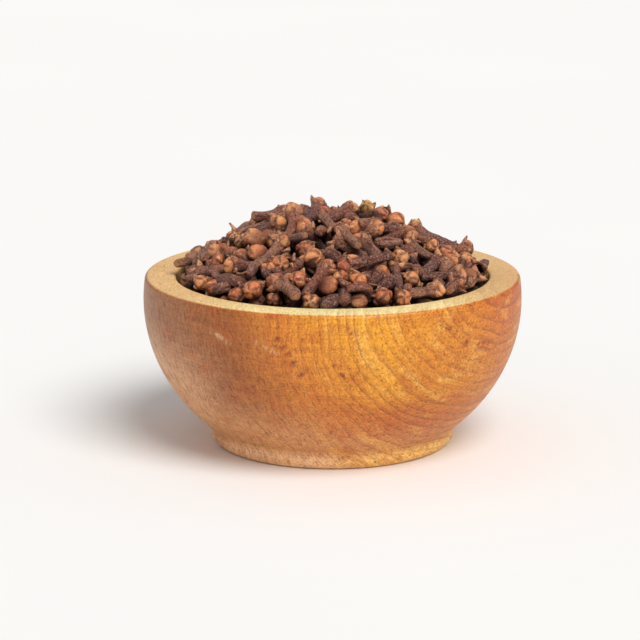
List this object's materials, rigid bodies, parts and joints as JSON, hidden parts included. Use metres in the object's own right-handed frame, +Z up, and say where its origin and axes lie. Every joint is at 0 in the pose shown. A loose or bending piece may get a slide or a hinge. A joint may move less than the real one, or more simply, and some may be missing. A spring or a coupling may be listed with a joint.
{
  "type": "bowl of whole cloves",
  "caption": "Small turned wooden bowl with a thick flat lip and a low foot, heaped with whole dried cloves.",
  "frame": {"origin": "centre of the flat underside of the bowl's foot, on the surface that it stands on", "axes": "+Z up out of the bowl; -Y towards the viewer of the picture, +X to the viewer's right"},
  "size_m": [0.1, 0.1, 0.0648],
  "materials": {
    "bowl_wood": "oiled, with a soft sheen",
    "clove": "dry and finely wrinkled"
  },
  "bodies": {
    "root": {"bowl": "bowl_wood", "cloves": "clove"}
  },
  "joints": []
}
